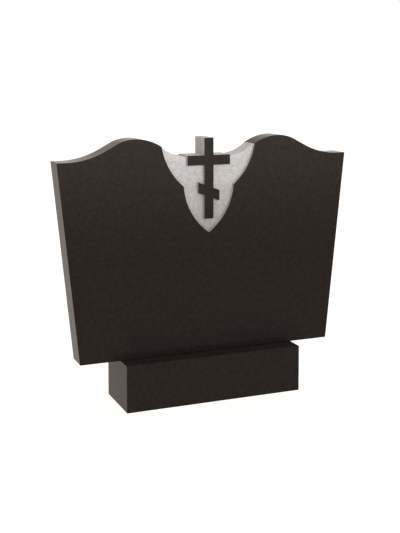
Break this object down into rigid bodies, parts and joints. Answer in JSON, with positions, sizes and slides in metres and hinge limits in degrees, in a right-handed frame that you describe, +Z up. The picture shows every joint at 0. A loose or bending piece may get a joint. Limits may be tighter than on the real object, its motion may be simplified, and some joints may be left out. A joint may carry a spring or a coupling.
{
  "type": "headstone",
  "caption": "Wide polished black granite headstone with a waved top, a sunk light field with a slant-footed cross standing in it, on a plain block plinth.",
  "frame": {"origin": "middle of the plinth's underside, on the ground", "axes": "+X along the stele to the viewer's right, +Y from the front to the back, +Z up"},
  "size_m": [1, 0.2, 0.8503],
  "materials": {
    "polished_granite": "polished",
    "hammered_granite": "matte"
  },
  "bodies": {
    "root": {"stele": "polished_granite", "plinth": "polished_granite"}
  },
  "joints": []
}
